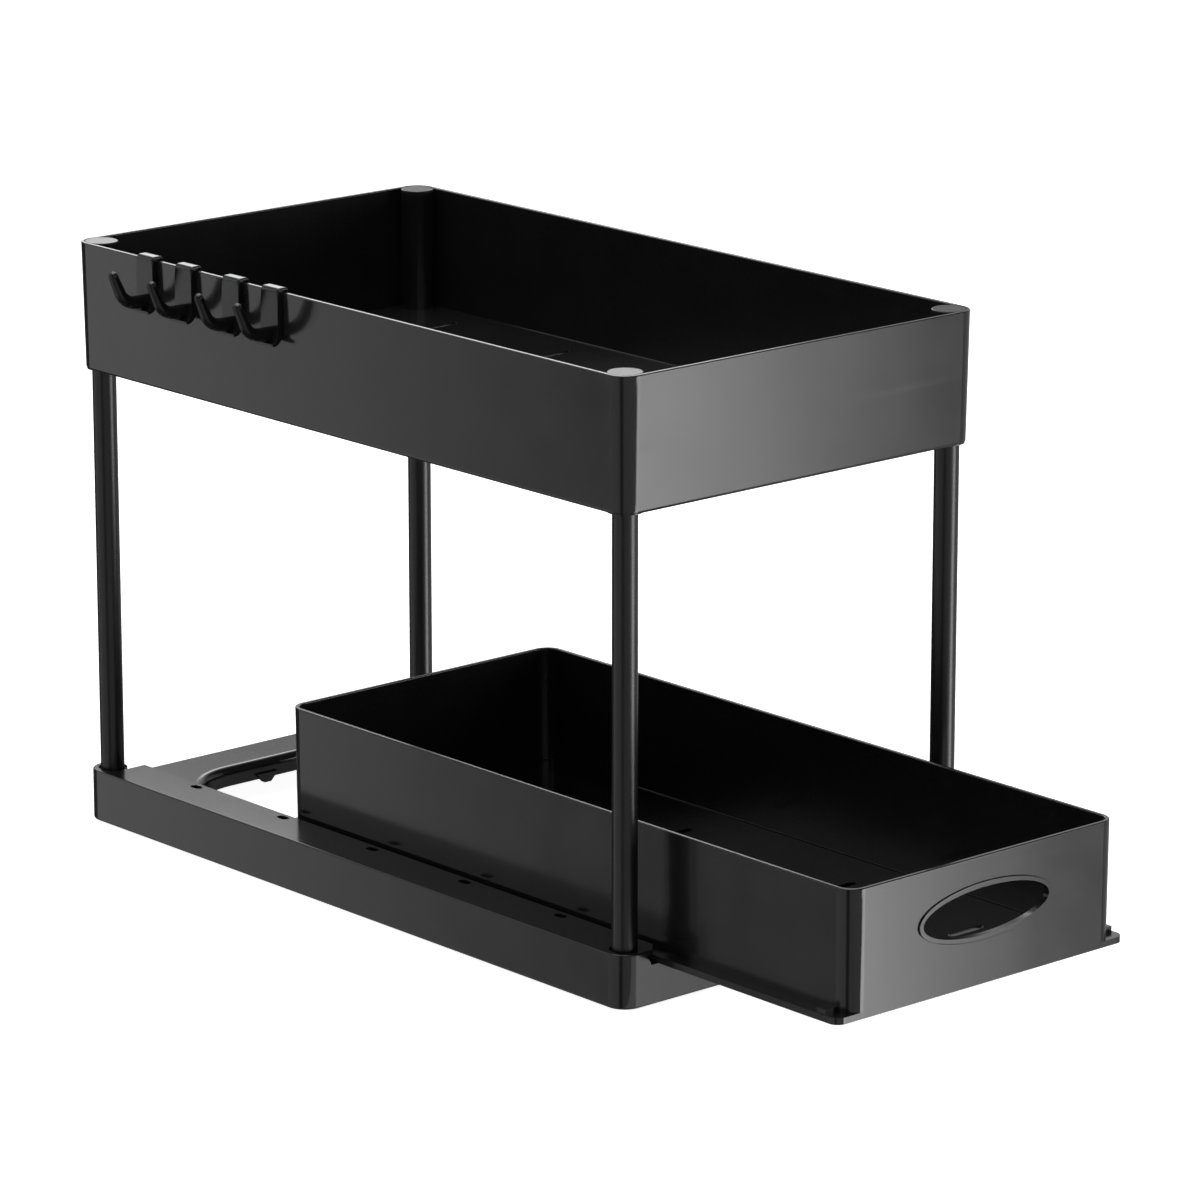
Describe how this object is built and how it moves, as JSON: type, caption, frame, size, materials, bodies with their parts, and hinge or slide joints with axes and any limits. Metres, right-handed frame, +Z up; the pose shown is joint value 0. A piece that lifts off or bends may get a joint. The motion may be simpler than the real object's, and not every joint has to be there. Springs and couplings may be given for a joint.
{
  "type": "under sink organizer",
  "caption": "Free-standing tiered organizer: an open tray on round posts over a railed base, with a pull-out drawer that has a finger hole, and hooks over the tray's rim.",
  "frame": {"origin": "centre of the base's footprint, on the floor that the foot pads stand on", "axes": "+X to the right of someone facing the drawer's front, -Y the way the drawer pulls out, +Z up"},
  "size_m": [0.2345, 0.5065, 0.2857],
  "materials": {
    "tray_plastic": "satin moulded black",
    "base_plastic": "satin moulded black",
    "drawer_plastic": "satin moulded black",
    "post_paint": "satin black coat on steel tube",
    "cap_plastic": "matt moulded black",
    "hook_plastic": "satin moulded black",
    "foot_rubber": "matt"
  },
  "bodies": {
    "frame": {"base_frame": "base_plastic", "upper_tray": "tray_plastic", "post_front_left": "post_paint", "post_cap_front_left": "cap_plastic", "foot_pad_front_left": "foot_rubber", "post_front_right": "post_paint", "post_cap_front_right": "cap_plastic", "foot_pad_front_right": "foot_rubber", "post_rear_left": "post_paint", "post_cap_rear_left": "cap_plastic", "foot_pad_rear_left": "foot_rubber", "post_rear_right": "post_paint", "post_cap_rear_right": "cap_plastic", "foot_pad_rear_right": "foot_rubber"},
    "drawer": {"drawer": "drawer_plastic"},
    "hook_1": {"hook_1": "hook_plastic"},
    "hook_2": {"hook_2": "hook_plastic"},
    "hook_3": {"hook_3": "hook_plastic"},
    "hook_4": {"hook_4": "hook_plastic"}
  },
  "joints": [
    {"name": "drawer_slide", "type": "slide", "parent": "frame", "child": "drawer", "axis": [0, -1, 0], "range_m": [-0.102, 0.14]},
    {"name": "hook_1_lift", "type": "slide", "parent": "frame", "child": "hook_1", "axis": [0, 0, 1], "range_m": [0, 0.03]},
    {"name": "hook_2_lift", "type": "slide", "parent": "frame", "child": "hook_2", "axis": [0, 0, 1], "range_m": [0, 0.03]},
    {"name": "hook_3_lift", "type": "slide", "parent": "frame", "child": "hook_3", "axis": [0, 0, 1], "range_m": [0, 0.03]},
    {"name": "hook_4_lift", "type": "slide", "parent": "frame", "child": "hook_4", "axis": [0, 0, 1], "range_m": [0, 0.03]}
  ]
}
